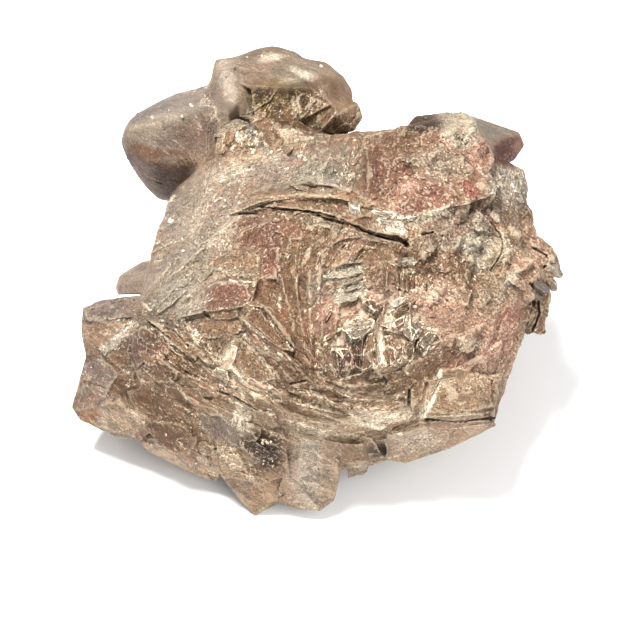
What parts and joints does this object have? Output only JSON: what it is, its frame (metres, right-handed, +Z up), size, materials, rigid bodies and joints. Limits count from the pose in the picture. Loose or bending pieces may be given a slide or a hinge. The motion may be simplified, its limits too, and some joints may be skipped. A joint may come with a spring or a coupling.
{
  "type": "pyrite crystal cluster",
  "caption": "Cluster of tarnished pyrite crystals grown together, broken open across a front of radiating blades and curved ledges, resting on a flat scar.",
  "frame": {"origin": "bottom centre of the bounding box, on the plane of the flat scar that the cluster rests on", "axes": "+Z up from the scar, -Y towards the side that the broken front leans back from, X across the front"},
  "size_m": [0.1014, 0.089, 0.0622],
  "materials": {
    "pyrite": "tarnished metallic lustre, brown and brassy, with dusty grooves"
  },
  "bodies": {
    "root": {"pyrite_cluster": "pyrite"}
  },
  "joints": []
}
